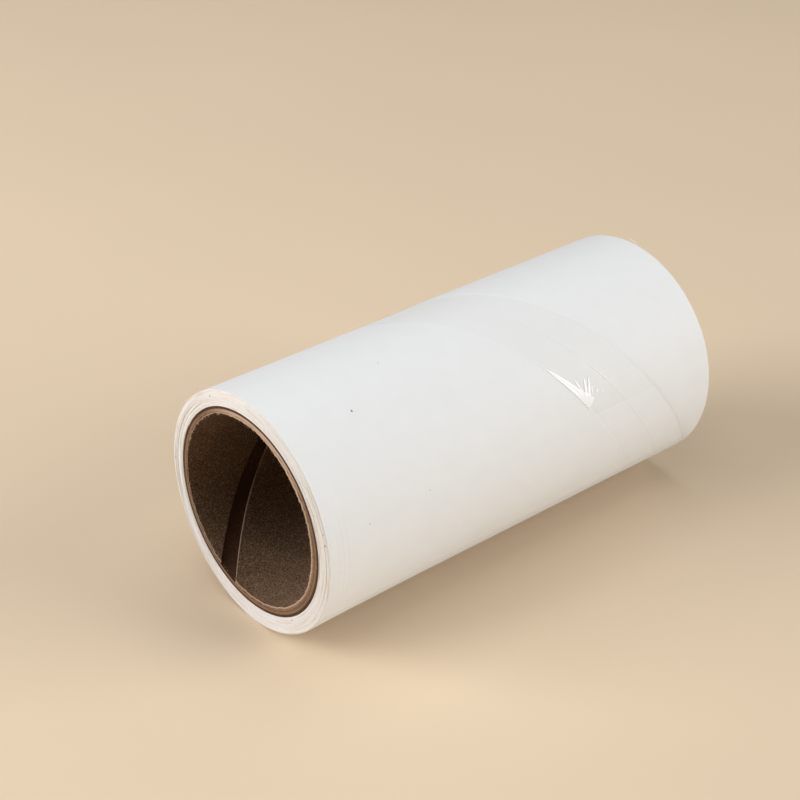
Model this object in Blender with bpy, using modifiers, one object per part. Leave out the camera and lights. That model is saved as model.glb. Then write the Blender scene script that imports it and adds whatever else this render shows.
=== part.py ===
"""A lint roller refill: adhesive paper wound on a spiral cardboard core, lying on its side.

The roll's axis is X and its middle is the origin. The end at -X is the near end. Up is +Z, and an
angle round the roll is measured from +Z towards -Y. The paper is one web. It starts at the first
sheet's corner, on the outside at +X, and winds inwards as that angle falls. Slits that climb
across the web cut it into sheets of equal length. All lengths are in metres.
"""

import math

import bmesh
import bpy

# Roll
ROLL_LENGTH = 0.100
ROLL_RADIUS = 0.0242
FACETS = 30
CORNER_ANGLE = math.radians(130.8)
SEAM_GAP = 0.0003

# Paper
SHEET_COUNT = 30
SHEET_LENGTH = 0.1393
PAPER_THICKNESS = 0.000090
TURN_PITCH = 0.000106
SLIT_RISE = 1.45
TAIL_LENGTH = 0.015

# Cardboard core: outer radius, thickness, angle of the seam at mid-length and width of the seam
CORE_PLIES = {
    "core_outer_ply": (0.02093, 0.00045, math.radians(255), 0.0006),
    "core_middle_ply": (0.02044, 0.00060, math.radians(135), 0.0006),
    "core_inner_ply": (0.01980, 0.00052, math.radians(22.5), 0.0042),
}
PLY_ADVANCE = 0.1005

# Closure tape: it lies along the second slit
TAPE_WIDTH = 0.0138
TAPE_THICKNESS = 0.00006
TAPE_LIFT = 0.00002
TAPE_END_ANGLE = math.radians(76)
TAPE_TAIL_ANGLE = math.radians(-104)

# Lines that the two loose ends fold about
CORNER_HINGE_ANGLE = math.radians(90)
TAPE_HINGE_ANGLE = math.radians(54)

FULL_TURN = 2 * math.pi
FACET_ANGLE = FULL_TURN / FACETS
FIRST_FACET_LINE = FACET_ANGLE / 2
WEB_TAPER = TURN_PITCH / FULL_TURN


def web_radius(turned):
    """Radius of the web's outer face after it has turned this far from its corner."""
    return ROLL_RADIUS - WEB_TAPER * turned


def web_length(turned):
    """Length of web from its corner to this turn: the integral of web_radius."""
    return ROLL_RADIUS * turned - WEB_TAPER * turned**2 / 2


def web_turned(length):
    """Turn at which the web has this length: the inverse of web_length."""
    return (ROLL_RADIUS - math.sqrt(ROLL_RADIUS**2 - 2 * WEB_TAPER * length)) / WEB_TAPER


def slit_place(turned, corner_length):
    """Place across the web, from 0 at the near end, where the slit from corner_length passes."""
    place = ROLL_LENGTH - (web_length(turned) - corner_length) / SLIT_RISE
    return min(max(place, 0.0), ROLL_LENGTH)


def facet_lines(first, last):
    """Turns, between first and last, at which the roll's facets meet."""
    start = CORNER_ANGLE - FIRST_FACET_LINE
    low = math.ceil((first - start) / FACET_ANGLE)
    high = math.floor((last - start) / FACET_ANGLE)
    return [start + step * FACET_ANGLE for step in range(low, high + 1)]


def line_point(turned, radius_at):
    """(y, z) at this turn on the facets whose corners have the radius radius_at(turn)."""
    start = CORNER_ANGLE - FIRST_FACET_LINE
    before = start + math.floor((turned - start) / FACET_ANGLE) * FACET_ANGLE
    ends = []
    for line in (before, before + FACET_ANGLE):
        angle = CORNER_ANGLE - line
        ends.append((-radius_at(line) * math.sin(angle), radius_at(line) * math.cos(angle)))
    near = radius_at(before) * math.sin(turned - before)
    far = radius_at(before + FACET_ANGLE) * math.sin(before + FACET_ANGLE - turned)
    share = near / (near + far)
    return [a + share * (b - a) for a, b in zip(*ends)]


def make_material(name, colour, roughness, alpha=1.0):
    material = bpy.data.materials.new(name)
    material.use_nodes = True
    shader = material.node_tree.nodes["Principled BSDF"]
    shader.inputs["Base Color"].default_value = (*colour, 1.0)
    shader.inputs["Roughness"].default_value = roughness
    shader.inputs["Metallic"].default_value = 0.0
    shader.inputs["Alpha"].default_value = alpha
    return material


def make_wrap(name, turns, left_edge, right_edge, radius_at, thickness, material, collection):
    """A thin wrap round the roll: a strip of faces from left_edge to right_edge, made solid.

    The strip's faces are its outer side, and the wall goes inwards from them.
    """
    turns = sorted(set(turns) | set(facet_lines(min(turns), max(turns))))
    mesh = bpy.data.meshes.new(name)
    grid = bmesh.new()
    bmesh.ops.create_grid(grid, x_segments=len(turns) - 1, y_segments=1, size=1.0)
    rows = sorted({round(vert.co.x, 6) for vert in grid.verts})
    for vert in grid.verts:
        turned = turns[rows.index(round(vert.co.x, 6))]
        across = right_edge(turned) if vert.co.y > 0 else left_edge(turned)
        vert.co = (across - ROLL_LENGTH / 2, *line_point(turned, radius_at))
    bmesh.ops.remove_doubles(grid, verts=grid.verts, dist=thickness / 10)
    bmesh.ops.recalc_face_normals(grid, faces=grid.faces)
    face = max(grid.faces, key=bmesh.types.BMFace.calc_area)
    if face.normal.dot((0, *face.calc_center_median()[1:])) < 0:
        bmesh.ops.reverse_faces(grid, faces=grid.faces)
    grid.to_mesh(mesh)
    grid.free()
    wrap = bpy.data.objects.new(name, mesh)
    collection.objects.link(wrap)
    mesh.materials.append(material)
    mesh.shade_smooth()
    solidify = wrap.modifiers.new("Thickness", "SOLIDIFY")
    solidify.thickness = thickness
    solidify.offset = -1.0
    solidify.use_even_offset = True
    return wrap


def make_pivot(name, angle, turned, across, depth, wrap, collection):
    """An empty on the line that the piece folds about, with the piece parented to it."""
    pivot = bpy.data.objects.new(name, None)
    radius = web_radius(turned) - depth
    pivot.location = (
        across - ROLL_LENGTH / 2,
        -radius * math.sin(angle),
        radius * math.cos(angle),
    )
    collection.objects.link(pivot)
    wrap.parent = pivot
    wrap.matrix_parent_inverse = pivot.matrix_basis.inverted()


def make_core_ply(name, material, collection):
    """One ply: a strip wound once round, whose two long edges face each other across a seam."""
    radius, thickness, seam_angle, seam_width = CORE_PLIES[name]
    middle = CORNER_ANGLE - seam_angle
    rise = FULL_TURN / PLY_ADVANCE

    def seam_place(turned, offset):
        place = ROLL_LENGTH / 2 - (turned - middle) / rise + offset
        return min(max(place, 0.0), ROLL_LENGTH)

    def left_edge(turned):
        return seam_place(turned, seam_width / 2)

    def right_edge(turned):
        return seam_place(turned, PLY_ADVANCE - seam_width / 2)

    half = ROLL_LENGTH / 2
    turns = [
        middle + rise * (seam_width / 2 - half),
        middle + rise * (seam_width / 2 + half),
        middle + rise * (PLY_ADVANCE - seam_width / 2 - half),
        middle + rise * (PLY_ADVANCE - seam_width / 2 + half),
    ]
    make_wrap(name, turns, left_edge, right_edge, lambda turned: radius, thickness, material, collection)


def sheet_edges(number):
    """The left and right edge of a sheet as functions of the turn, and the turns of its corners."""
    start = (number - 1) * SHEET_LENGTH
    slit = SLIT_RISE * ROLL_LENGTH
    is_last = number == SHEET_COUNT
    end = start + slit + TAIL_LENGTH if is_last else start + SHEET_LENGTH - SEAM_GAP

    def left_edge(turned):
        return slit_place(turned, start)

    def right_edge(turned):
        return ROLL_LENGTH if is_last else slit_place(turned, end)

    lengths = [start, start + slit, end] + ([] if is_last else [end + slit])
    return left_edge, right_edge, [web_turned(length) for length in lengths]


def make_first_sheet(material, collection):
    """The outermost sheet, and its corner as a piece of its own that folds open."""
    left_edge, right_edge, turns = sheet_edges(1)
    hinge = CORNER_ANGLE - CORNER_HINGE_ANGLE
    body_turns = [hinge] + [turned for turned in turns if turned > hinge]
    corner_turns = [0.0, hinge - SEAM_GAP / ROLL_RADIUS]
    shared = (left_edge, right_edge, web_radius, PAPER_THICKNESS, material, collection)
    make_wrap("sheet_01", body_turns, *shared)
    corner = make_wrap("sheet_01_corner", corner_turns, *shared)
    across = (left_edge(hinge) + ROLL_LENGTH) / 2
    make_pivot(
        "corner_pivot", CORNER_HINGE_ANGLE, hinge, across, PAPER_THICKNESS / 2, corner, collection
    )


def make_sheet(number, material, collection):
    left_edge, right_edge, turns = sheet_edges(number)
    make_wrap(
        f"sheet_{number:02d}", turns, left_edge, right_edge, web_radius, PAPER_THICKNESS, material, collection
    )


def make_closure_tape(material, collection):
    """Clear tape along the second slit, and its loose end as a piece of its own."""
    half_width = TAPE_WIDTH / 2 * math.hypot(1, SLIT_RISE) / SLIT_RISE

    def tape_radius(turned):
        return web_radius(turned) + TAPE_LIFT + TAPE_THICKNESS

    def slit_middle(turned):
        return ROLL_LENGTH - (web_length(turned) - SHEET_LENGTH + SEAM_GAP / 2) / SLIT_RISE

    def left_edge(turned):
        return slit_middle(turned) - half_width

    def right_edge(turned):
        return slit_middle(turned) + half_width

    second_turn = CORNER_ANGLE + FULL_TURN
    end = second_turn - TAPE_END_ANGLE
    hinge = second_turn - TAPE_HINGE_ANGLE
    tail = second_turn - TAPE_TAIL_ANGLE
    shared = (left_edge, right_edge, tape_radius, TAPE_THICKNESS, material, collection)
    make_wrap("closure_tape", [hinge, tail], *shared)
    tape_end = make_wrap("closure_tape_end", [end, hinge - SEAM_GAP / ROLL_RADIUS], *shared)
    depth = -TAPE_LIFT - TAPE_THICKNESS / 2
    make_pivot(
        "tape_pivot", TAPE_HINGE_ANGLE, hinge, slit_middle(hinge), depth, tape_end, collection
    )


def main():
    for item in list(bpy.data.objects):
        bpy.data.objects.remove(item)
    collection = bpy.data.collections.new("lint_roller_refill")
    bpy.context.scene.collection.children.link(collection)
    cardboard = {
        "core_outer_ply": make_material("outer_ply_cardboard", (0.30, 0.22, 0.15), 0.9),
        "core_middle_ply": make_material("middle_ply_cardboard", (0.33, 0.25, 0.18), 0.9),
        "core_inner_ply": make_material("inner_ply_cardboard", (0.20, 0.16, 0.12), 0.95),
    }
    paper = make_material("adhesive_paper", (0.80, 0.79, 0.76), 0.55)
    tape = make_material("clear_tape", (0.78, 0.80, 0.76), 0.25, alpha=0.4)
    for name, material in cardboard.items():
        make_core_ply(name, material, collection)
    make_first_sheet(paper, collection)
    for number in range(2, SHEET_COUNT + 1):
        make_sheet(number, paper, collection)
    make_closure_tape(tape, collection)


main()
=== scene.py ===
"""Lint roller refill: the finished paper, core and tape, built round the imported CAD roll.

Laid out as an add-on and run as a script. The roll's axis is X with its middle at the origin, the
near end is at -X and up is +Z. An angle round the roll is measured from +Z towards -Y. A place
across the web is measured from the near end. The web starts at the first sheet's corner, on the
outside at the far end, and winds inwards as the angle falls. Lengths are in metres.
"""

import math
from functools import partial

import bpy
import numpy as np
from bpy.props import FloatProperty, FloatVectorProperty, IntProperty, PointerProperty
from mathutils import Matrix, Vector


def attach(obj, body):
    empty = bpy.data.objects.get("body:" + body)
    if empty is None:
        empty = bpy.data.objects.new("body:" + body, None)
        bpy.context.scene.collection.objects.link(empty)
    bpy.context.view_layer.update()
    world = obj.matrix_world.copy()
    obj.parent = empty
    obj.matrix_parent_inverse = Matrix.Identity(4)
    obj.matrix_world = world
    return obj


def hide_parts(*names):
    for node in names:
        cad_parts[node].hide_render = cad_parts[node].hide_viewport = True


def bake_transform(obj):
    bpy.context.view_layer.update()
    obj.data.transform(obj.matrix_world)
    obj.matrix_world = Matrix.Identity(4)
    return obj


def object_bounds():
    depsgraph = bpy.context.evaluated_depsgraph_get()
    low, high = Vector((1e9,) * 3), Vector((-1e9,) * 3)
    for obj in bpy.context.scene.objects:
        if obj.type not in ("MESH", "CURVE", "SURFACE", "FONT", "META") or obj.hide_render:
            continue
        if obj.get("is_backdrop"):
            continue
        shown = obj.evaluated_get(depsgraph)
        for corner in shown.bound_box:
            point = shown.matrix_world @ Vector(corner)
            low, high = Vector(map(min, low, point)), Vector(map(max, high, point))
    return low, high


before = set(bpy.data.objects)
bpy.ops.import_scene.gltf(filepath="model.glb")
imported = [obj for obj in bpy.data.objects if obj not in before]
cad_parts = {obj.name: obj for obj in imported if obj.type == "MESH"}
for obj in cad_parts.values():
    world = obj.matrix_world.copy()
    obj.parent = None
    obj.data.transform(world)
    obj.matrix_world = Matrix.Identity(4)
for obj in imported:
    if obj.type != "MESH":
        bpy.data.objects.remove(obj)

CAD_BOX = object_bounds()

bl_info = {
    "name": "Lint Roller Refill",
    "version": (1, 0, 0),
    "blender": (4, 5, 0),
    "location": "3D View > Sidebar > Lint Roll",
    "description": "Builds the wound paper sheets, cardboard core and closure tape of a refill roll",
    "category": "Add Mesh",
}

ROLL_BODY = "roll"
MM = 0.001
TURN = 2 * math.pi


def linear(colour_hex):
    """An sRGB hex colour as linear red, green, blue and a full alpha."""
    parts = [int(colour_hex[at : at + 2], 16) / 255 for at in (0, 2, 4)]
    return (*[p / 12.92 if p <= 0.04045 else ((p + 0.055) / 1.055) ** 2.4 for p in parts], 1.0)


def in_metres(name, text, default):
    return FloatProperty(name=name, description=text, default=default, unit="LENGTH", precision=5)


def in_degrees(name, text, degrees):
    start = math.radians(degrees)
    return FloatProperty(name=name, description=text, default=start, unit="ROTATION")


def in_colour(name, text, colour_hex):
    start = linear(colour_hex)
    return FloatVectorProperty(
        name=name, description=text, default=start, size=4, min=0.0, max=1.0, subtype="COLOR"
    )


class LintRollPaper(bpy.types.PropertyGroup):
    """The wound web and its sheets."""

    width: in_metres("Web width", "Length of the roll's axis", CAD_BOX[1].x - CAD_BOX[0].x)
    radius: in_metres("Roll radius", "Radius over the outermost turn", 0.0242)
    corner_angle: in_degrees("Corner angle", "Where the first sheet's corner lies", 130.8)
    hinge_angle: in_degrees("Corner fold", "Line that the first corner folds about", 90)
    sheet_count: IntProperty(name="Sheets", description="How many on the roll", default=30, min=2)
    sheet_length: in_metres("Sheet length", "Web length from slit to slit", 0.1393)
    turn_pitch: in_metres("Turn pitch", "How far each turn lies inside the last", 0.000106)
    thickness: in_metres("Paper thickness", "Thickness of one sheet", 0.000104)
    slit_rise: FloatProperty(
        name="Slit rise", description="Web length a slit takes for each unit across", default=1.45
    )
    slit_gap: in_metres("Slit gap", "Web length lost in one slit", 0.00002)
    tail: in_metres("Tail", "How far the last sheet runs on past its slit", 0.015)
    face_colour: in_colour("Paper face", "Coated face of the paper", "e0e1e1")
    edge_colour: in_colour("Cut edge", "Guillotined edges of the web", "dedad7")
    fibre_colour: in_colour("Edge streaks", "Bare fibre showing in the cut edges", "c9b597")


class LintRollCore(bpy.types.PropertyGroup):
    """The spiral-wound cardboard tube."""

    outer_radius: in_metres("Outer ply", "Outer radius of the outer ply", 0.02093)
    middle_radius: in_metres("Middle ply", "Outer radius of the middle ply", 0.02044)
    inner_radius: in_metres("Inner ply", "Outer radius of the inner ply", 0.01975)
    bore_radius: in_metres("Bore", "Radius of the bore", 0.01928)
    advance: in_metres("Ply advance", "How far a seam moves along in one turn", 0.1005)
    seam_width: in_metres("Inner seam", "Gap between the inner ply's edges", 0.0042)
    liner_colour: in_colour("Liner", "Recycled liner that faces the bore", "6b5038")
    core_colour: in_colour("Core stock", "Grey-brown stock of the cut ends", "795b43")
    # The glue colour is dark glue and also painted shade: it darkens the middle ply's inner face,
    # which shows in the bore's seam where there is only shade.
    glue_and_shade_colour: in_colour("Glue and shade", "Dark glue between the plies and the paper, and painted shade in the bore's seam", "462c19")
    torn_colour: in_colour("Torn fibre", "Pale fibre at the sawn rims", "b69c85")
    fibre_count: IntProperty(
        name="Torn fibres", description="How many stand round the two rims", default=560, min=2
    )


class LintRollTape(bpy.types.PropertyGroup):
    """Clear tape that closes the roll along the second slit."""

    width: in_metres("Tape width", "Width of the tape", 0.0138)
    thickness: in_metres("Tape thickness", "Thickness of the tape", 0.00006)
    lift: in_metres("Tape lift", "Gap between paper and tape", 0.00002)
    overlap: in_metres("Tape overlap", "How far its near side runs on over the paper", 0.0004)
    end_angle: in_degrees("Tape end", "Where the loose end stops", 76)
    tail_angle: in_degrees("Tape tail", "Where the other end stops", -104)
    hinge_angle: in_degrees("Tape fold", "Line that the loose end folds about", 54)
    tint: in_colour("Tape tint", "What the film leaves of light going in and out", "fdfdfc")
    air_colour: in_colour("Silvering", "Trapped air that shines white", "ffffff")


class LintRollStage(bpy.types.PropertyGroup):
    """Camera, floor and lights."""

    azimuth: in_degrees("Azimuth", "Camera's turn about the vertical", -40.437)
    elevation: in_degrees("Elevation", "Camera's height above the horizon", 30.521)
    distance: in_metres("Distance", "From the camera to its target", 0.38038)
    target: FloatVectorProperty(
        name="Target", description="Point in the middle of the view", subtype="TRANSLATION",
        default=(-0.006106, 0.008145, 0.003798), unit="LENGTH",
    )
    lens: FloatProperty(name="Lens", description="Focal length on a 36 mm sensor", default=85.549)
    floor_colour: in_colour("Floor", "Pale matt floor", "dcc7ab")
    sky_strength: FloatProperty(name="Sky", description="Strength of the even fill", default=0.06)


SETTINGS = {
    "lint_paper": LintRollPaper,
    "lint_core": LintRollCore,
    "lint_tape": LintRollTape,
    "lint_stage": LintRollStage,
}


# ---- shapes


class Web:
    """The paper web as it is wound. Every method takes and gives whole arrays.

    turned is the angle that the web has turned through from its corner, growing inwards.
    """

    def __init__(self, paper):
        self.paper = paper
        self.taper = paper.turn_pitch / TURN

    def radius(self, turned):
        """Outer face: the roll's radius less one pitch for each turn."""
        return self.paper.radius - self.taper * turned

    def length(self, turned):
        """Length of web from its corner: the integral of the radius over the turn."""
        return self.paper.radius * turned - self.taper * turned**2 / 2

    def turned(self, length):
        """The inverse of length."""
        radius = self.paper.radius
        return (radius - np.sqrt(radius**2 - 2 * self.taper * length)) / self.taper

    def angle(self, turned):
        return self.paper.corner_angle - turned

    def slit_place(self, turned, corner_length):
        """Place across of the slit whose far end is at corner_length: it falls as the web runs on."""
        fall = (self.length(turned) - corner_length) / self.paper.slit_rise
        return self.paper.width - fall


def waves(position, lengths, heights, seed):
    """A sum of sine waves along position, one for each length and height, at seeded phases."""
    phases = np.random.default_rng(seed).uniform(0, TURN, len(lengths))
    total = np.zeros_like(position)
    for wave_length, height, phase in zip(lengths, heights, phases):
        total = total + height * np.sin(TURN * position / wave_length + phase)
    return total


def bell(position, middle, reach):
    """1 at the middle, falling to 0 as exp(-(distance / reach) squared)."""
    return np.exp(-(((position - middle) / reach) ** 2))


def ease(position, start, end):
    """0 before start, 1 after end, and smooth between: 3t^2 - 2t^3."""
    share = np.clip((position - start) / (end - start), 0, 1)
    return share * share * (3 - 2 * share)


def roll_point(across, radius, angle, width):
    """x is the place across less half the width; y and z are the radius turned by the angle."""
    parts = (across - width / 2, -radius * np.sin(angle), radius * np.cos(angle))
    return np.stack(np.broadcast_arrays(*parts), axis=-1)


def spaced(start, end, step, *fine):
    """Sorted places from start to end about step apart, with extra runs (from, to, step) between."""
    runs = [np.linspace(start, end, max(2, round((end - start) / step) + 1))]
    for low, high, small in fine:
        low, high = max(low, start), min(high, end)
        if high > low:
            runs.append(np.linspace(low, high, max(2, round((high - low) / small) + 1)))
    places = np.unique(np.concatenate(runs))
    smallest = min([step] + [small for *_, small in fine]) * 0.3
    kept = np.concatenate([[True], np.diff(places) > smallest])
    kept[-1] = True
    return places[kept]


def new_object(name, data):
    """A new object with this data, in the scene's collection."""
    made = bpy.data.objects.new(name, data)
    bpy.context.scene.collection.objects.link(made)
    return made


def make_mesh(name, points, faces, materials, material_index=None, sharp=40, **attributes):
    """A mesh object from arrays of points and triangles, turned so that its volume is positive."""
    corners = points[faces]
    volume = np.einsum("ij,ij->i", corners[:, 0], np.cross(corners[:, 1], corners[:, 2])).sum()
    if volume < 0:
        faces = faces[:, ::-1]
    mesh = bpy.data.meshes.new(name)
    mesh.from_pydata(points, [], faces)
    for material in materials:
        mesh.materials.append(material)
    if material_index is not None:
        mesh.polygons.foreach_set("material_index", material_index.astype(np.int32))
    for key, values in attributes.items():
        layer = mesh.attributes.new(key, "FLOAT", "POINT")
        layer.data.foreach_set("value", values.astype(np.float32).ravel())
    if mesh.validate():
        raise RuntimeError(f"{name}: the mesh was not valid")
    mesh.shade_smooth()
    mesh.set_sharp_from_angle(angle=math.radians(sharp))
    return new_object(name, mesh)


def triangles(*corners):
    """Rows of three point numbers, from an array of them for each corner."""
    return np.stack(corners, -1).reshape(-1, 3)


def make_shell(name, outer, inner, face_material, cut_material, ends=None, **attributes):
    """A closed thin shell: one grid of points for each side, and a wall round their four edges.

    Each cell is cut from its first corner to the opposite one, which is the short way where the
    grid leans round the roll. The whole wall has the cut material, or, where ends is given, only
    the walls at the grid points where it is true. An attribute is a grid of values for each side.
    """
    rows, columns = outer.shape[:2]
    count = rows * columns
    grid = np.arange(count).reshape(rows, columns)
    a, b, c, d = grid[:-1, :-1], grid[1:, :-1], grid[1:, 1:], grid[:-1, 1:]
    skin = np.concatenate([triangles(a, b, c), triangles(a, c, d)])
    rim = np.concatenate([grid[:-1, 0], grid[-1, :-1], grid[:0:-1, -1], grid[0, :0:-1]])
    after = np.roll(rim, -1)
    walls = triangles(rim, rim + count, after + count), triangles(rim, after + count, after)
    points = np.concatenate([outer.reshape(-1, 3), inner.reshape(-1, 3)])
    faces = np.concatenate([skin, skin[:, ::-1] + count, *walls])
    cut_wall = np.ones(len(rim), bool) if ends is None else ends.ravel()[rim] & ends.ravel()[after]
    is_cut = np.concatenate([np.zeros(2 * len(skin), bool), cut_wall, cut_wall])
    values = {key: np.stack(sides) for key, sides in attributes.items()}
    return make_mesh(name, points, faces, [face_material, cut_material], is_cut, **values)


WOUND_DEPTH = 3.24 * MM  # from the outermost turn to the innermost
LOOSE = 0.12 * MM  # how far the outermost turn stands out
SAG, SAG_FADE = 0.42 * MM, 12 * MM  # how much further it stands out under the near end
SAG_MIDDLE, SAG_REACH = 160, 48  # degrees round the roll
END_FADE = 0.8 * MM  # how fast the ends' unevenness dies away along the roll
SET_BACK, SET_BACK_DEPTH = 0.22 * MM, 0.35 * MM  # the outer turns' step back from the ends
STRAY_TURNS = TURN * np.array([2.9, 1.21, 0.585, 0.31, 0.137])
STRAY_HEIGHTS = MM * np.array([0.030, 0.022, 0.018, 0.012, 0.006])
NEAR_SEED, FAR_SEED = 11, 23


def loosened(paper, radius, angle, across):
    """The radius of turns that are wound looser on the outside.

    It grows with the square of the share of the way out, by LOOSE all round and by up to SAG
    more under the near end, a bell round SAG_MIDDLE that fades as exp(-across / SAG_FADE).
    """
    share = np.clip(1 - (paper.radius - radius) / WOUND_DEPTH, 0, None)
    sag = SAG * bell(np.degrees(angle) % 360, SAG_MIDDLE, SAG_REACH) * np.exp(-across / SAG_FADE)
    return radius + (LOOSE + sag) * share**2


def wound_point(web, turned, across, depth=0.0, lift=0.0):
    """A point of the wound paper, depth below the web's outer face and lift above it.

    Each cut edge strays along the roll by a sum of slow waves in the turn, and the outermost
    turns stand back from both ends, least of all below, so that the roll's rims are a little
    soft. Both fade away from the end as exp(-distance / END_FADE).
    """
    paper = web.paper
    radius = web.radius(turned) - depth + lift
    outside = np.maximum(paper.radius - radius, 0)
    below = bell(np.degrees(web.angle(turned)) % 360, 180, 60)
    set_back = SET_BACK * np.exp(-outside / SET_BACK_DEPTH) * (1 - 0.7 * below)
    near_stray = waves(turned, STRAY_TURNS, STRAY_HEIGHTS, NEAR_SEED) + set_back
    far_stray = waves(turned, STRAY_TURNS, STRAY_HEIGHTS, FAR_SEED) + set_back
    near = np.exp(-across / END_FADE)
    far = np.exp(-(paper.width - across) / END_FADE)
    along = across + near_stray * near - far_stray * far
    angle = web.angle(turned)
    return roll_point(along, loosened(paper, radius, angle, across), angle, paper.width)


def sheet_span(web, number):
    """Web lengths at which a sheet's far end starts and stops."""
    paper = web.paper
    start = (number - 1) * paper.sheet_length
    if number == paper.sheet_count:
        return start, start + paper.slit_rise * paper.width + paper.tail
    return start, start + paper.sheet_length - paper.slit_gap


def paper_shell(node, web, turned, across, materials, lift=0.0, pressed=0.0):
    """The shell of a sheet, cut at the roll's ends. Its outer face is lower by what it is pressed."""
    paper = web.paper
    near, far = across < 0.001 * MM, across > paper.width - 0.001 * MM
    piece = make_shell(
        f"paper_{node}",
        wound_point(web, turned, across, lift=lift - pressed),
        wound_point(web, turned, across, depth=paper.thickness, lift=lift),
        *materials,
        ends=near | far,
    )
    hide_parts(node)
    return piece


TIP = 0.07 * MM  # web length left off a sheet's sharp corners, so that no triangle is flat
TURN_STEP = 0.05  # radians between the grid lines of a sheet
SHEET_SHARES = np.array([0, 0.003, 0.012, 0.05, 0.5, 0.95, 0.988, 0.997, 1.0])  # slit to slit


def inner_sheet(web, number, materials):
    """A sheet under the first: a grid over the turn, and from its left slit to its right one."""
    paper = web.paper
    start, end = sheet_span(web, number)
    slit = paper.slit_rise * paper.width
    corners = [start + TIP, start + slit, end]
    if number < paper.sheet_count:
        corners.append(end + slit - TIP)
    corner_turns = web.turned(np.array(corners))
    first, last = corner_turns[0], corner_turns[-1]
    even_turns = np.linspace(first, last, round((last - first) / TURN_STEP))
    turns = np.unique(np.concatenate([even_turns, corner_turns]))
    left = np.clip(web.slit_place(turns, start), 0, paper.width)
    right = np.full_like(turns, paper.width)
    if number < paper.sheet_count:
        right = np.clip(web.slit_place(turns, end), 0, paper.width)
    across = left[:, None] + (right - left)[:, None] * SHEET_SHARES
    turned = np.broadcast_to(turns[:, None], across.shape)
    piece = paper_shell(f"sheet_{number:02d}", web, turned, across, materials)
    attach(piece, ROLL_BODY)


# Slits that print through: the slit, how many turns down, and the groove's depth and reach in mm.
GROOVES = ((2, 1, 0.010, 0.35), (4, 3, 0.008, 0.5))
RING_HEIGHT, RING_PITCH = 0.018 * MM, 1.15 * MM
RING_PLACE, RING_REACH = 3.4 * MM, 1.7 * MM  # across the web, from the near end
RING_MIDDLE, RING_SPREAD = 88, 34  # degrees round the roll


def first_sheet_relief(web, turned, across):
    """What shows on the outside of the first sheet's turns.

    The slits of deeper turns print through as grooves, each a bell across the web. Rings are
    pressed into the near rim: a sine along the roll times a bell along it and a bell round it.
    """
    lift = np.zeros_like(across)
    for slit_number, turns_down, depth, reach in GROOVES:
        deeper = web.slit_place(turned + TURN * turns_down, slit_number * web.paper.sheet_length)
        lift -= depth * MM * bell(across, deeper, reach * MM)
    side = bell(np.degrees(web.angle(turned)) % 360, RING_MIDDLE, RING_SPREAD)
    rings = np.sin(TURN * across / RING_PITCH + 0.5) * bell(across, RING_PLACE, RING_REACH)
    return lift + RING_HEIGHT * rings * side


PRESSED, PRESSED_FADE = 0.098 * MM, 1.0 * MM
PRINT_TURN = 0.6  # where along the first sheet the second slit's groove gets its fine columns


def pressed_edge(distance):
    """How far the first sheet's free edge is pressed thin: exp(-distance / PRESSED_FADE)."""
    return PRESSED * np.exp(-distance / PRESSED_FADE)


def first_sheet(web, materials):
    """The outermost sheet up to the fold of its corner: a grid of lines along and across the slits.

    A column lies at a fixed distance from the slits, and its rows run from the near end to the
    far end or to the fold, whichever comes first.
    """
    paper = web.paper
    rise = paper.slit_rise
    start, end = (length / rise for length in sheet_span(web, 1))
    fold = web.length(paper.corner_angle - paper.hinge_angle) / rise
    printed, above = TURN * (PRINT_TURN + 1), TURN * PRINT_TURN
    print_line = (2 * paper.sheet_length - web.length(printed) + web.length(above)) / rise
    columns = spaced(
        start, end, 0.9 * MM, (start, 4 * MM, 0.25 * MM), (end - 0.4 * MM, end, 0.1 * MM),
        (print_line - 1.4 * MM, print_line + 1.4 * MM, 0.14 * MM),
    )
    columns = np.unique(np.append(columns, fold))
    top = np.minimum(paper.width, columns + paper.width - fold)
    rows = spaced(
        0, paper.width, 1.0 * MM, (0, 1.2 * MM, 0.15 * MM), (0, 6 * MM, 0.3 * MM),
        (paper.width - 1.2 * MM, paper.width, 0.15 * MM),
    )
    across = top[:, None] * (rows / paper.width)
    turned = web.turned((columns[:, None] + paper.width - across) * rise)
    lift = first_sheet_relief(web, turned, across)
    pressed = pressed_edge(columns - start)[:, None]
    piece = paper_shell("sheet_01", web, turned, across, materials, lift, pressed)
    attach(piece, ROLL_BODY)


TIP_LIFT, LIFT_START, LIFT_END = 0.015 * MM, 112, 130  # the lift and its run in degrees


def first_corner(web, materials):
    """The first sheet's loose corner, from its fold to the tip, which stands a hair off the roll."""
    paper = web.paper
    rise = paper.slit_rise
    fold = web.length(paper.corner_angle - paper.hinge_angle) / rise
    columns = spaced(0, fold - 0.05 * MM, 0.5 * MM, (0, 0.6 * MM, 0.1 * MM))
    share = spaced(0, 1, 0.02, (0, 0.04, 0.005), (0.96, 1.0, 0.01))
    low = columns + paper.width - fold
    across = low[:, None] + (paper.width - low)[:, None] * share
    turned = web.turned((columns[:, None] + paper.width - across) * rise)
    lift = TIP_LIFT * ease(np.degrees(web.angle(turned)), LIFT_START, LIFT_END)
    pressed = pressed_edge(columns)[:, None]
    piece = paper_shell("sheet_01_corner", web, turned, across, materials, lift, pressed)
    fold_over(piece)


def fold_over(piece):
    """Bakes a piece's transform into its points, and leaves the piece where it lies on the roll."""
    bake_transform(piece)


FRAY_MIDDLE, FRAY_REACH = 12, 56  # where the sawn ends are most torn, in degrees
FRAY_FADE, SEAM_FADE = 0.2 * MM, 0.15 * MM


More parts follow.
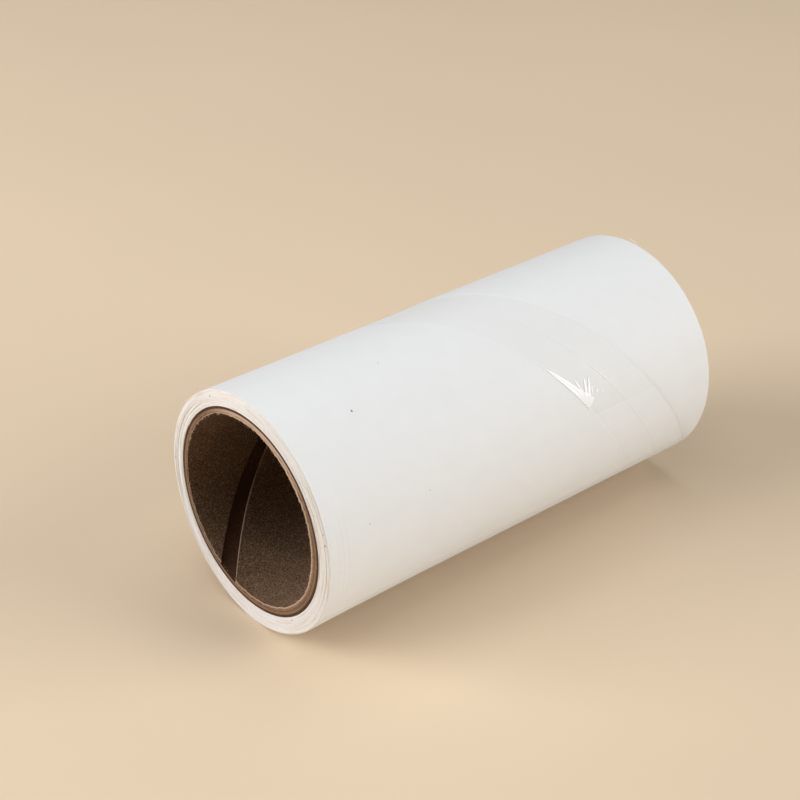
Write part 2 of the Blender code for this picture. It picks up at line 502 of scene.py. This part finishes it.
def core_ply(layer, core, web, outer_radius, inner_radius, seam_degrees, seam_width,
             turn_step, along_step, materials, edge_shape=None):
    """One spiral ply: a grid round the tube from seam to seam, and along the tube.

    The seam moves on by one advance for each turn, so a column of the grid is a spiral line.
    The attribute torn says where pale fibre shows: it is a bell round the tube that fades from
    the ends as exp(-distance / FRAY_FADE), and edge_shape may give the bore its own.
    """
    width = web.paper.width
    rise = TURN / core.advance
    seam = rise * seam_width / 2
    turns = spaced(seam, TURN - seam, turn_step)
    across = spaced(
        0, width, along_step, (0, 2.4 * MM, 0.2 * MM), (width - 2.4 * MM, width, 0.3 * MM)
    )
    turns, across = np.meshgrid(turns, across, indexing="ij")
    angle = math.radians(seam_degrees) - rise * (width / 2 - across) - turns
    inner = np.full_like(across, inner_radius)
    along = across
    degrees = (np.degrees(angle) + 180) % 360 - 180
    to_end = np.minimum(across, width - across)
    frayed = bell(degrees, FRAY_MIDDLE, FRAY_REACH) * np.exp(-to_end / FRAY_FADE)
    torn = frayed
    if edge_shape:
        inner, along, torn = edge_shape(core, angle, across, width)
        seam_edge = np.exp(-(turns - seam) * inner_radius / SEAM_FADE)
        torn, frayed = np.maximum(torn, 0.95 * seam_edge), np.maximum(frayed, 0.8 * seam_edge)
    piece = make_shell(
        f"core_ply_{layer}",
        roll_point(along, outer_radius, angle, width),
        roll_point(along, inner, angle, width),
        *materials,
        torn=(frayed, torn),
    )
    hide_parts(f"core_{layer}_ply")
    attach(piece, ROLL_BODY)


LEAN_IN, LEAN_UP, LEAN_FADE = 0.38 * MM, 0.13 * MM, 1.6 * MM
RAGGED_CYCLES = TURN / np.array([7.0, 13.0, 31.0, 53.0, 89.0])
RAGGED_HEIGHTS = np.array([0.030, 0.028, 0.036, 0.036, 0.034]) * MM
RAGGED_SEEDS, FIBRE_SEED = (31, 37, 41), 61
RAGGED_FADE, TORN_FADE = 0.5 * MM, 0.25 * MM
LEAST_PLY = 0.12 * MM


def sawn_bore(core, angle, across, width):
    """The inner ply's bore and ends, left rough by the saw.

    At the near end the rim leans in towards -Y by LEAN_IN and out at the top by LEAN_UP, fading
    as exp(-distance / LEAN_FADE), and both rims are ragged by a sum of waves round the tube.
    """
    near, far = across, width - across
    lean = -LEAN_IN * np.sin(angle) + LEAN_UP * np.cos(angle)
    ragged, ragged_far, stray = (
        waves(angle, RAGGED_CYCLES, RAGGED_HEIGHTS, seed) for seed in RAGGED_SEEDS
    )
    inner = core.bore_radius + lean * np.exp(-near / LEAN_FADE)
    inner = inner + ragged * np.exp(-near / RAGGED_FADE) + ragged_far * np.exp(-far / RAGGED_FADE)
    along = across + 0.8 * stray * (np.exp(-near / END_FADE) - np.exp(-far / END_FADE))
    torn = np.exp(-np.minimum(near, far) / TORN_FADE)
    return np.minimum(inner, core.inner_radius - LEAST_PLY), along, torn


def torn_fibres(core, web, count, seed):
    """Points and triangles of the short fibres that the saw left standing round the bore's rims.

    Each is a three-sided spike. Its middle line runs inwards from the rim, leans round the tube
    by the square of the share run, and stands a little out of the end. Its half width falls
    from the root to the tip in proportion to the share.
    """
    width = web.paper.width
    rng = np.random.default_rng(seed)
    angle = rng.uniform(0, TURN, count)[:, None, None]
    length = rng.uniform(0.14, 0.58, count)[:, None, None] * MM
    lean = rng.uniform(-1.0, 1.0, count)[:, None, None]
    rise = rng.uniform(-0.1, 0.45, count)[:, None, None]
    half = rng.uniform(0.028, 0.07, count)[:, None, None] * MM
    at_far_end = (np.arange(count) % 2 == 1)[:, None, None]
    share = np.array([0, 0.35, 0.7, 1.0])[None, :, None]
    corner = (TURN * np.arange(3) / 3)[None, None, :]
    place = np.where(at_far_end, width, 0.0)
    rim, *_ = sawn_bore(core, angle, place, width)
    taper = half * (1 - 0.8 * share)
    radius = rim + 0.04 * MM - length * share
    aside = length * lean * share**2 + taper * np.cos(corner)
    out = length * rise * share - 0.05 * MM + taper * np.sin(corner)
    across = np.where(at_far_end, width + out, -out)
    points = roll_point(across, radius, angle + aside / radius, width)
    order = np.arange(3)
    beside = np.roll(order, -1)
    low, high = (np.arange(3) * 3)[:, None], (np.arange(3) * 3 + 3)[:, None]
    spike = np.concatenate([
        triangles(low + order, low + beside, high + beside),
        triangles(low + order, high + beside, high + order),
        [[2, 1, 0], [9, 10, 11]],
    ])
    turned_over = np.broadcast_to(at_far_end, (count, len(spike), 3))
    faces = spike[None] + (12 * np.arange(count))[:, None, None]
    faces = np.where(turned_over, faces[:, :, ::-1], faces)
    return points.reshape(-1, 3), faces.reshape(-1, 3)


# Air trapped under the tape, in degrees round the roll and millimetres across: the point that a
# finger starts from, the point it runs to, its half width there and how full of air it is.
AIR_FINGERS = (
    ((47.6, 59.0), (62.8, 64.6), 0.24, 1.0),
    ((49.4, 59.2), (63.4, 63.7), 0.26, 1.0),
    ((47.6, 58.9), (65.5, 64.8), 0.80, 0.60),
    ((61.0, 63.4), (69.9, 66.5), 1.35, 0.55),
    ((54.9, 63.8), (63.4, 65.0), 0.20, 0.70),
    ((57.6, 66.4), (66.2, 65.8), 0.36, 0.85),
    ((57.5, 67.7), (66.5, 66.4), 0.32, 0.85),
    ((62.7, 67.8), (65.6, 67.3), 0.18, 0.50),
    ((64.0, 69.0), (66.3, 68.5), 0.22, 0.50),
    ((65.7, 70.0), (67.4, 70.1), 0.16, 0.40),
    ((51.2, 68.4), (63.6, 72.4), 0.12, 0.25),
)


def trapped_air(paper, degrees, across):
    """How full of air the gap under the tape is, from 0 to 1, from the fingers above.

    A finger's half width grows as the square root of the distance from its point, and its value
    falls to 0 across its edge. Where fingers overlap, the fullest counts.
    """
    mm_per_degree = math.radians(1) * paper.radius / MM
    here = np.stack([degrees * mm_per_degree, across / MM], -1)
    air = np.zeros_like(across)
    for tip, base, half_width, fullness in AIR_FINGERS:
        tip = np.array([tip[0] * mm_per_degree, tip[1]])
        axis = np.array([base[0] * mm_per_degree, base[1]]) - tip
        length = np.linalg.norm(axis)
        axis /= length
        along = (here - tip) @ axis
        aside = np.abs((here - tip) @ np.array([-axis[1], axis[0]]))
        reach = half_width * np.sqrt(np.clip(along / length, 0, 1))
        edge = ease(reach - aside, -0.06, 0.12) * ease(along, -0.05, 0.2)
        air = np.maximum(air, fullness * edge * (1 - ease(along, length - 0.1, length + 0.25)))
    return air


AIR_LIFT, AIR_END = 0.015 * MM, 46  # how far trapped air lifts the tape, and where it stops
BRIDGE, BRIDGE_MIDDLE, BRIDGE_REACH = 0.22 * MM, -33, 9  # a lift, and degrees round the roll


def tape_strip(web, tape, name, node, turns, materials):
    """A run of the closure tape: a grid over the turn and the width of the tape.

    It follows the second slit, bridges a hollow over the top of the roll, and rides over the air
    trapped under it.
    """
    paper = web.paper
    half = tape.width / 2 * math.hypot(1, paper.slit_rise) / paper.slit_rise
    near_side = -half - tape.overlap
    aside = spaced(near_side, half, 0.1 * MM)
    turned, aside = np.meshgrid(turns, aside, indexing="ij")
    across = web.slit_place(turned, paper.sheet_length) + aside
    degrees = np.degrees(web.angle(turned) + TURN)
    air = trapped_air(paper, degrees, across)
    bridge = bell(degrees, BRIDGE_MIDDLE, BRIDGE_REACH) * ease(aside, -half, -0.55 * half)
    stuck = ease(aside - near_side, 0.05 * MM, 0.5 * MM)
    lift = tape.lift + tape.thickness + AIR_LIFT * air * stuck + BRIDGE * bridge
    angle = web.angle(turned)
    radius = loosened(paper, web.radius(turned) + lift, angle, across)
    piece = make_shell(
        name,
        roll_point(across, radius, angle, paper.width),
        roll_point(across, radius - tape.thickness, angle, paper.width),
        *materials,
        trapped_air=(air, air),
    )
    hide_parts(node)
    return piece


def speck(size, flatness, seed):
    """Points and triangles of one irregular flattened grain about its own middle.

    Two angles, round and from pole to pole, give an ellipsoid whose radius is roughened by waves.
    """
    round_steps, pole_steps = 10, 6
    around = np.linspace(0, TURN, round_steps, endpoint=False)
    polar = np.linspace(0, math.pi, pole_steps + 1)[1:-1]
    around, polar = np.meshgrid(around, polar, indexing="ij")
    rough = 1 + waves(around, [TURN, TURN / 2, TURN / 3], [0.18, 0.16, 0.12], seed)
    local = size * triangles(
        rough * np.sin(polar) * np.cos(around),
        0.7 * rough * np.sin(polar) * np.sin(around),
        flatness * np.cos(polar),
    )
    local = np.concatenate([local, [[0, 0, size * flatness], [0, 0, -size * flatness]]])
    grid = np.arange(round_steps * (pole_steps - 1)).reshape(round_steps, pole_steps - 1)
    beside = np.roll(grid, -1, axis=0)
    a, b, c, d = grid[:, :-1], beside[:, :-1], beside[:, 1:], grid[:, 1:]
    top, bottom = grid.size, grid.size + 1
    faces = np.concatenate([
        triangles(a, c, b),
        triangles(a, d, c),
        triangles(grid[:, 0], beside[:, 0], np.full(round_steps, top)),
        triangles(beside[:, -1], grid[:, -1], np.full(round_steps, bottom)),
    ])
    return local, faces


# Slivers at the far rim: the angles of the root and the tip in degrees, how far the tip stands
# out of the end and half the width at the root, both in millimetres.
SLIVERS = (
    (7, -4, 1.40, 0.14),
    (23, 18, 0.32, 0.09),
    (33, 30, 0.26, 0.08),
    (43, 38, 0.36, 0.08),
    (50, 47, 0.24, 0.07),
)


def rim_sliver(paper, number, root, tip, rise, half_width, materials):
    """A strip with two parameters, the share of its length and the side across it.

    It leaves the rim as the share to the power 0.6, turns from root to tip in proportion, and
    narrows to a quarter of its width.
    """
    share, side = np.meshgrid(np.linspace(0, 1, 25), np.linspace(-1, 1, 5), indexing="ij")
    angle = np.radians(root + (tip - root) * share)
    across = paper.width - 0.5 * MM + (rise + 0.5 * MM) * share**0.6
    radius = paper.radius - 0.10 * MM + side * half_width * (1 - 0.75 * share)
    radius = radius + waves(share, [0.9, 0.37], [0.06 * MM, 0.03 * MM], number) * share
    outer = roll_point(across, radius, angle, paper.width)
    inner = roll_point(across - 0.05 * MM, radius, angle, paper.width)
    return make_shell(f"rim_sliver_{number}", outer, inner, *materials)


# ---- materials

BLACK = (0, 0, 0, 1)


def add_node(tree, kind, inputs=None, stops=None, **settings):
    """Adds a node with its settings, and sets its inputs or links them.

    A link comes from a socket or from a node's first output. stops are a ramp's colours.
    """
    made = tree.nodes.new(kind)
    for key, value in settings.items():
        setattr(made, key, value)
    for key, value in (inputs or {}).items():
        if isinstance(value, bpy.types.Node):
            value = value.outputs[0]
        if isinstance(value, bpy.types.NodeSocket):
            tree.links.new(value, made.inputs[key])
        else:
            made.inputs[key].default_value = value
    if stops:
        elements = made.color_ramp.elements
        while len(elements) < len(stops):
            elements.new(0.5)
        for element, (position, colour) in zip(elements, stops):
            element.position, element.color = position, colour
    return made


def new_material(name):
    """An empty material, what adds a node to it, and its object coordinates."""
    material = bpy.data.materials.new(name)
    material.use_nodes = True
    material.node_tree.nodes.clear()
    add = partial(add_node, material.node_tree)
    return material, add, add("ShaderNodeTexCoord").outputs["Object"]


def per_metre(size_mm):
    """The noise scale that gives features of this size in millimetres."""
    return 1000 / size_mm


def pattern(place, size_mm, detail, **more):
    """The inputs of a noise with features of this size in millimetres."""
    return {"Vector": place, "Scale": per_metre(size_mm), "Detail": detail, **more}


def mixed(colour, other, share):
    return tuple(a + (b - a) * share for a, b in zip(colour, other))


def coated_paper(colour):
    """Release-coated sticky paper, calendered: an even cool white with a soft satin sheen.

    Fibre clumps about 4 mm across barely shade it, and its grain is about 0.35 mm.
    """
    material, add, place = new_material("coated_paper")
    clumps = add("ShaderNodeTexNoise", pattern(place, 4.0, 4.0))
    grain = add("ShaderNodeTexNoise", pattern(place, 0.35, 2.0))
    stops = [(0.3, mixed(colour, BLACK, 0.02)), (0.7, colour)]
    tone = add("ShaderNodeValToRGB", {"Fac": clumps}, stops)
    gloss = add("ShaderNodeMapRange", {"Value": grain, "To Min": 0.58, "To Max": 0.70})
    bump = add("ShaderNodeBump", {"Height": grain, "Strength": 0.12, "Distance": 0.01 * MM})
    finish = {"Base Color": tone, "Roughness": gloss, "Normal": bump, "IOR": 1.45}
    add("ShaderNodeOutputMaterial", {"Surface": add("ShaderNodeBsdfPrincipled", finish)})
    return material


def ring_coordinates(add, place, around, outward):
    """Coordinates for rings about the roll's axis: the direction times around, and radius times
    outward, so that a pattern stretches round the roll and stays whole where it meets itself."""
    parts = add("ShaderNodeSeparateXYZ", {"Vector": place})
    flat = add("ShaderNodeCombineXYZ", {"Y": parts.outputs["Y"], "Z": parts.outputs["Z"]})
    radius = add("ShaderNodeVectorMath", {0: flat}, operation="LENGTH").outputs["Value"]
    turned = add("ShaderNodeVectorMath", {0: flat}, operation="NORMALIZE")
    spread = add("ShaderNodeVectorMath", {0: turned, "Scale": around}, operation="SCALE")
    scaled = add("ShaderNodeMath", {0: radius, 1: outward}, operation="MULTIPLY")
    lifted = add("ShaderNodeCombineXYZ", {"X": scaled})
    return add("ShaderNodeVectorMath", {0: spread, 1: lifted}, operation="ADD")


def cut_paper(edge_colour, fibre_colour):
    """The same paper's bare cut edges, guillotined: matt cream with rings of tan fibre.

    The turns are 0.106 mm apart, too fine to show, so the rings are drawn about 0.3 mm wide.
    """
    material, add, place = new_material("cut_paper")
    circles = ring_coordinates(add, place, 3.0, per_metre(0.3))
    rings = add("ShaderNodeTexNoise", {"Vector": circles, "Scale": 1.0, "Detail": 3.0})
    dust = add("ShaderNodeTexNoise", pattern(place, 0.25, 2.0))
    stops = [(0.30, mixed(edge_colour, fibre_colour, 0.75)), (0.48, edge_colour), (1.0, edge_colour)]
    tone = add("ShaderNodeValToRGB", {"Fac": rings}, stops)
    stops = [(0.25, (0.78, 0.74, 0.68, 1)), (0.42, (1, 1, 1, 1))]
    speckled = add("ShaderNodeValToRGB", {"Fac": dust}, stops)
    layers = {0: 1.0, 6: tone, 7: speckled}
    both = add("ShaderNodeMix", layers, data_type="RGBA", blend_type="MULTIPLY").outputs[2]
    bump = add("ShaderNodeBump", {"Height": rings, "Strength": 0.3, "Distance": 0.03 * MM})
    finish = {"Base Color": both, "Roughness": 0.85, "Normal": bump, "IOR": 1.4}
    add("ShaderNodeOutputMaterial", {"Surface": add("ShaderNodeBsdfPrincipled", finish)})
    return material


def chipboard(name, colour, contrast, grain_mm, torn_colour=None):
    """Recycled chipboard, pressed: rough and matt, grey-brown with pale and dark fibre specks.

    Where the saw tore it, marked by the attribute torn, pale fibre shows in ragged patches.
    """
    material, add, place = new_material(name)
    dark, pale = (0.01, 0.006, 0.003, 1), (0.66, 0.54, 0.40, 1)
    fibres = add("ShaderNodeTexNoise", pattern(place, grain_mm, 3.0, Roughness=0.7))
    patches = add("ShaderNodeTexNoise", pattern(place, 6.0, 3.0))
    flecks = mixed(colour, pale, contrast * 0.7)
    stops = [(0.36, mixed(colour, dark, contrast)), (0.50, colour), (0.68, flecks)]
    tone = add("ShaderNodeValToRGB", {"Fac": fibres}, stops)
    limits = {"From Min": 0.3, "From Max": 0.7, "To Min": 0.86, "To Max": 1.1}
    wide = add("ShaderNodeMapRange", {"Value": patches, **limits})
    surface = add("ShaderNodeVectorMath", {0: tone, "Scale": wide}, operation="SCALE")
    if torn_colour:
        torn = add("ShaderNodeAttribute", attribute_name="torn").outputs["Fac"]
        frayed = add("ShaderNodeMath", {0: torn, 1: fibres}, operation="ADD")
        limits = {"From Min": 1.0, "From Max": 1.35, "To Max": 0.9}
        share = add("ShaderNodeMapRange", {"Value": frayed, **limits})
        layers = {0: share, 6: surface, 7: torn_colour}
        surface = add("ShaderNodeMix", layers, data_type="RGBA").outputs[2]
    bump = add("ShaderNodeBump", {"Height": fibres, "Strength": 0.6, "Distance": 0.08 * MM})
    finish = {"Base Color": surface, "Roughness": 0.92, "Normal": bump, "IOR": 1.35}
    add("ShaderNodeOutputMaterial", {"Surface": add("ShaderNodeBsdfPrincipled", finish)})
    return material


FILM_PASSES = 4  # light crosses the film's two faces on its way in and on its way out


def clear_tape(tint, air_colour):
    """Biaxial polypropylene packing tape: clear, all but colourless, and glossy.

    Where air is trapped under it, the film no longer touches the paper and shines white.
    """
    material, add, place = new_material("clear_tape")
    one_pass = tuple(part ** (1 / FILM_PASSES) for part in tint)
    film = add("ShaderNodeBsdfTransparent", {"Color": one_pass})
    ripple = add("ShaderNodeTexNoise", pattern(place, 2.5, 2.0))
    bump = add("ShaderNodeBump", {"Height": ripple, "Strength": 0.15, "Distance": 0.02 * MM})
    finish = {"Base Color": air_colour, "Roughness": 0.25, "Normal": bump, "IOR": 1.5}
    sheen = add("ShaderNodeBsdfPrincipled", finish)
    air = add("ShaderNodeAttribute", attribute_name="trapped_air").outputs["Fac"]
    share = add("ShaderNodeMapRange", {"Value": air, "To Min": 0.012, "To Max": 0.92})
    both = add("ShaderNodeMixShader", {0: share, 1: film, 2: sheen})
    add("ShaderNodeOutputMaterial", {"Surface": both})
    return material


def matt_material(name, colour, size_mm, detail, low, darkest, roughness):
    """A matt material of one hue, clouded by noise of this size down to its darkest share."""
    material, add, place = new_material(name)
    noise = add("ShaderNodeTexNoise", pattern(place, size_mm, detail))
    stops = [(low, mixed(colour, BLACK, darkest)), (1 - low, colour)]
    tone = add("ShaderNodeValToRGB", {"Fac": noise}, stops)
    finish = {"Base Color": tone, "Roughness": roughness}
    add("ShaderNodeOutputMaterial", {"Surface": add("ShaderNodeBsdfPrincipled", finish)})
    return material


def speck_material(name, colour):
    """A grain of dust or a torn fibre of chipboard: matt and uneven."""
    return matt_material(name, colour, 0.2, 2.0, 0.3, 0.35, 0.9)


def floor_material(colour):
    """Painted board: even, pale, warm and matt, with a faint cloudiness about 110 mm across."""
    return matt_material("painted_board", colour, 1000 / 9, 3.0, 0.2, 0.04, 0.7)


def paper_materials(paper):
    """The paper's two finishes, made once and shared by all sheets."""
    made, edge = bpy.data.materials, tuple(paper.edge_colour)
    face = made.get("coated_paper") or coated_paper(tuple(paper.face_colour))
    return face, made.get("cut_paper") or cut_paper(edge, tuple(paper.fibre_colour))


# ---- operators


class Builder:
    """What all the operators share: they build from the scene's settings and finish."""

    def execute(self, context):
        self.build(context.scene)
        return {"FINISHED"}


class LintRollCorePlies(Builder, bpy.types.Operator):
    """Build the three spiral plies of the cardboard tube"""

    bl_idname = "lint_roll.core_plies"
    bl_label = "Core plies"

    def build(self, scene):
        core, web = scene.lint_core, Web(scene.lint_paper)
        torn = tuple(core.torn_colour)
        liner = chipboard("chipboard_liner", tuple(core.liner_colour), 0.50, 0.30, torn)
        stock = chipboard("sawn_chipboard", tuple(core.core_colour), 0.30, 0.2, torn)
        # This dark material is glue and painted shade. It covers the whole outer ply, ends too, and
        # both faces of the middle ply. The middle ply's inner face shows in the bore's seam as a
        # painted shadow strip.
        glue_and_shade = chipboard("glue_and_shade_chipboard", tuple(core.glue_and_shade_colour), 0.10, 0.3)
        seam, steps = 0.15 * MM, (0.08, 1.3 * MM)
        outer, middle, inner = core.outer_radius, core.middle_radius, core.inner_radius
        core_ply("outer", core, web, outer, middle + 0.04 * MM, 255, seam, *steps, (glue_and_shade, glue_and_shade))
        core_ply("middle", core, web, middle, inner + 0.09 * MM, 135, seam, *steps, (glue_and_shade, stock))
        core_ply(
            "inner", core, web, inner, core.bore_radius, 22.5, core.seam_width, 0.0175, 1.4 * MM,
            (liner, stock), sawn_bore,
        )


class LintRollTornFibres(Builder, bpy.types.Operator):
    """Stand the torn fibres round both rims of the bore"""

    bl_idname = "lint_roll.torn_fibres"
    bl_label = "Torn fibres"

    def build(self, scene):
        core, web = scene.lint_core, Web(scene.lint_paper)
        points, faces = torn_fibres(core, web, core.fibre_count, FIBRE_SEED)
        pale = speck_material("torn_fibre", tuple(core.torn_colour))
        piece = make_mesh("torn_fibres", points, faces, [pale], sharp=80)
        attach(piece, ROLL_BODY)


class LintRollSheets(Builder, bpy.types.Operator):
    """Build the wound sheets, from the outermost to the last on the core"""

    bl_idname = "lint_roll.sheets"
    bl_label = "Paper sheets"

    def build(self, scene):
        paper = scene.lint_paper
        web, materials = Web(paper), paper_materials(paper)
        first_sheet(web, materials)
        for number in range(2, paper.sheet_count + 1):
            inner_sheet(web, number, materials)


class LintRollSheetCorner(Builder, bpy.types.Operator):
    """Build the first sheet's loose corner, which stands a hair off the roll"""

    bl_idname = "lint_roll.sheet_corner"
    bl_label = "First sheet's corner"

    def build(self, scene):
        paper = scene.lint_paper
        first_corner(Web(paper), paper_materials(paper))


class LintRollTapeStrips(Builder, bpy.types.Operator):
    """Build the closure tape and its loose end"""

    bl_idname = "lint_roll.tape"
    bl_label = "Closure tape"

    def build(self, scene):
        paper, tape = scene.lint_paper, scene.lint_tape
        web = Web(paper)
        film = clear_tape(tuple(tape.tint), tuple(tape.air_colour))
        angles = (tape.end_angle, tape.hinge_angle, math.radians(AIR_END), tape.tail_angle)
        end, hinge, air_end, tail = (paper.corner_angle + TURN - angle for angle in angles)
        turns = spaced(hinge, tail, 0.045, (hinge, air_end, 0.005))
        fixed = tape_strip(web, tape, "tape_strip", "closure_tape", turns, (film, film))
        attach(fixed, ROLL_BODY)
        turns = spaced(end, hinge, 0.004)
        loose = tape_strip(web, tape, "tape_strip_end", "closure_tape_end", turns, (film, film))
        radius = web.radius(hinge) + tape.lift + tape.thickness / 2
        fold_over(loose)


class LintRollSpecks(Builder, bpy.types.Operator):
    """Scatter the few grains of dust that cling to the paper and its cut end"""

    bl_idname = "lint_roll.specks"
    bl_label = "Dust specks"

    def build(self, scene):
        paper = scene.lint_paper
        web = Web(paper)
        greys = speck_material("grey_dust", linear("8f8d88"))
        tans = speck_material("tan_dust", linear("b9a586"))
        amber = speck_material("amber_fleck", linear("d9a347"))
        face_radius = web.radius(TURN)
        on_face = (
            (28.8, 15.6, 0.24, greys), (11.1, 27.6, 0.13, tans), (77.2, 9.8, 0.12, tans),
            (74.8, 24.3, 0.12, tans),
        )
        on_end = (
            (-27, 22.9, 0.16, greys), (-62.9, 22.2, 0.10, greys), (-87.6, 23.4, 0.13, greys),
            (64.5, 22.2, 0.13, tans), (73.2, 23.5, 0.14, tans), (145, 21.6, 0.16, greys),
            (78.5, 23.46, 0.24, amber),
        )
        points, faces, indices, count = [], [], [], 0
        materials = [greys, tans, amber]
        for seed, (degrees, place, size, material) in enumerate(on_face + on_end):
            local, cells = speck(size * MM, 0.4, seed)
            angle = math.radians(degrees)
            outward = np.array([0, -math.sin(angle), math.cos(angle)])
            onward = np.array([0, -math.cos(angle), -math.sin(angle)])
            axial = np.array([1.0, 0, 0])
            if seed < len(on_face):
                surface = loosened(paper, face_radius, angle, place * MM)
                centre = roll_point(place * MM, surface, angle, paper.width)
                axes = np.stack([onward, axial, outward])
            else:
                centre = roll_point(-0.04 * MM, place * MM, angle, paper.width)
                axes = np.stack([onward, outward, -axial])
            points.append(local @ axes + centre)
            faces.append(cells + count)
            indices.append(np.full(len(cells), materials.index(material)))
            count += len(local)
        piece = make_mesh(
            "dust_specks", np.concatenate(points), np.concatenate(faces), materials,
            np.concatenate(indices), sharp=80,
        )
        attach(piece, ROLL_BODY)


class LintRollSliver(Builder, bpy.types.Operator):
    """Build the slivers of paper that the cut left standing off the far rim"""

    bl_idname = "lint_roll.sliver"
    bl_label = "Rim slivers"

    def build(self, scene):
        paper = scene.lint_paper
        materials = paper_materials(paper)
        for number, (root, tip, rise, half_width) in enumerate(SLIVERS, 1):
            piece = rim_sliver(paper, number, root, tip, rise * MM, half_width * MM, materials)
            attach(piece, ROLL_BODY)


# The softboxes: name, azimuth and elevation in degrees, distance, size and power in watts.
SOFTBOXES = (
    ("left_softbox", -118, 25, 1.0, 0.70, 10.4),
    ("right_softbox", 40, 20, 2.5, 1.75, 54.0),
    ("top_softbox", 0, 89.9, 1.0, 1.00, 5.0),
)


def direction(azimuth, elevation):
    """The unit vector from the roll at this azimuth, from -Y towards +X, and elevation."""
    level = math.cos(elevation)
    return Vector((math.sin(azimuth) * level, -math.cos(azimuth) * level, math.sin(elevation)))


def aimed(name, data, azimuth, elevation, distance, target):
    """A lamp or camera at this distance from its target, looking at it."""
    away = direction(azimuth, elevation)
    made = new_object(name, data)
    made.location = target + away * distance
    made.rotation_euler = (-away).to_track_quat("-Z", "Y").to_euler()
    return made


def softbox(name, azimuth, elevation, distance, size, power):
    """A square area light that looks at the roll."""
    lamp = bpy.data.lights.new(name, "AREA")
    lamp.shape = "SQUARE"
    lamp.size, lamp.energy = size, power
    aimed(name, lamp, math.radians(azimuth), math.radians(elevation), distance, Vector((0, 0, 0)))


class LintRollStageMaker(Builder, bpy.types.Operator):
    """Lay the pale floor and set up the soft lights and the camera"""

    bl_idname = "lint_roll.stage"
    bl_label = "Stage"

    def build(self, scene):
        stage = scene.lint_stage
        reach = 4.0
        floor_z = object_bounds()[0].z - 0.01 * MM
        mesh = bpy.data.meshes.new("floor")
        corners = [(-reach, -reach), (reach, -reach), (reach, reach), (-reach, reach)]
        mesh.from_pydata([(x, y, floor_z) for x, y in corners], [], [(0, 1, 2, 3)])
        mesh.materials.append(floor_material(tuple(stage.floor_colour)))
        new_object("floor", mesh)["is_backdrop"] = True

        world = bpy.data.worlds.new("studio")
        world.use_nodes = True
        background = world.node_tree.nodes["Background"]
        background.inputs["Color"].default_value = linear("ffffff")
        background.inputs["Strength"].default_value = stage.sky_strength
        scene.world = world
        for setting in SOFTBOXES:
            softbox(*setting)
        scene.view_settings.view_transform = "Standard"

        lens = bpy.data.cameras.new("camera")
        lens.sensor_width, lens.lens = 36, stage.lens
        lens.clip_start, lens.clip_end = 0.01, 20
        place = stage.azimuth, stage.elevation, stage.distance, Vector(stage.target)
        scene.camera = aimed("camera", lens, *place)


PIECE_OPERATORS = (
    LintRollCorePlies,
    LintRollTornFibres,
    LintRollSheets,
    LintRollSheetCorner,
    LintRollTapeStrips,
    LintRollSpecks,
    LintRollSliver,
    LintRollStageMaker,
)


class LintRollPanel(bpy.types.Panel):
    """Lists the roll's pieces and their settings"""

    bl_idname = "VIEW3D_PT_lint_roll"
    bl_label = "Lint Roller Refill"
    bl_space_type = "VIEW_3D"
    bl_region_type = "UI"
    bl_category = "Lint Roll"

    def draw(self, context):
        layout = self.layout
        for maker in PIECE_OPERATORS:
            layout.operator(maker.bl_idname, text=maker.bl_label)
        for group_name in SETTINGS:
            group = getattr(context.scene, group_name)
            box = layout.box()
            for key in group.bl_rna.properties.keys():
                if key not in ("rna_type", "name"):
                    box.prop(group, key)


def register():
    for group in SETTINGS.values():
        bpy.utils.register_class(group)
    for name, group in SETTINGS.items():
        setattr(bpy.types.Scene, name, PointerProperty(type=group))
    for maker in (*PIECE_OPERATORS, LintRollPanel):
        bpy.utils.register_class(maker)


def unregister():
    for maker in (LintRollPanel, *reversed(PIECE_OPERATORS)):
        bpy.utils.unregister_class(maker)
    for name, group in SETTINGS.items():
        delattr(bpy.types.Scene, name)
        bpy.utils.unregister_class(group)


def main():
    register()
    for maker in PIECE_OPERATORS:
        family, action = maker.bl_idname.split(".")
        getattr(getattr(bpy.ops, family), action)()


if __name__ == "__main__":
    main()
